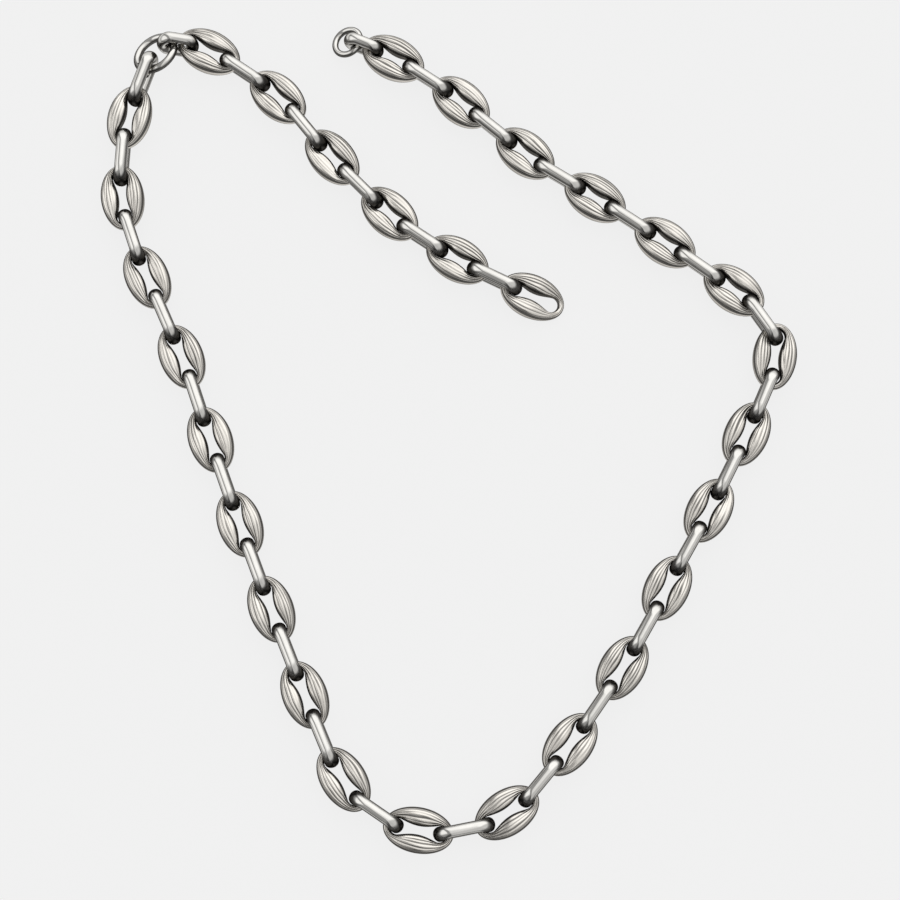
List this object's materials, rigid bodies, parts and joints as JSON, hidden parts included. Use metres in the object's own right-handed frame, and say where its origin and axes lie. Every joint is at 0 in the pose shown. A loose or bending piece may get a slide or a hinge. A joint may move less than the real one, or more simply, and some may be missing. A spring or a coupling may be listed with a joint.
{
  "type": "coffee bean chain necklace",
  "caption": "Coffee bean chain lying open: puffed oval slotted beans joined by oval wire connectors on edge, a round clasp ring with a short tail, and a small end ring.",
  "frame": {"origin": "on the surface the chain lies on, under the middle of its outline", "axes": "+Z up; +Y along the loop's length, from its rounded bottom towards the two rings; +X to the right seen from above with +Y up"},
  "size_m": [0.1636, 0.1964, 0.0086],
  "materials": {
    "bean_steel": "polished steel with fine lengthwise flutes",
    "wire_steel": "polished steel wire",
    "ring_steel": "polished steel wire"
  },
  "bodies": {
    "root": {"main_bean_01": "bean_steel", "main_bean_02": "bean_steel", "main_bean_03": "bean_steel", "main_bean_04": "bean_steel", "main_bean_05": "bean_steel", "main_bean_06": "bean_steel", "main_bean_07": "bean_steel", "main_bean_08": "bean_steel", "main_bean_09": "bean_steel", "main_bean_10": "bean_steel", "main_bean_11": "bean_steel", "main_bean_12": "bean_steel", "main_bean_13": "bean_steel", "main_bean_14": "bean_steel", "main_bean_15": "bean_steel", "main_bean_16": "bean_steel", "main_bean_17": "bean_steel", "main_bean_18": "bean_steel", "main_bean_19": "bean_steel", "main_bean_20": "bean_steel", "main_bean_21": "bean_steel", "main_bean_22": "bean_steel", "main_bean_23": "bean_steel", "tail_bean_1": "bean_steel", "tail_bean_2": "bean_steel", "tail_bean_3": "bean_steel", "tail_bean_4": "bean_steel", "tail_bean_5": "bean_steel", "tail_bean_6": "bean_steel", "main_connectors": "wire_steel", "tail_connectors": "wire_steel", "clasp_ring_link": "wire_steel", "end_ring_link": "wire_steel", "clasp_ring": "ring_steel", "end_ring": "ring_steel"}
  },
  "joints": []
}
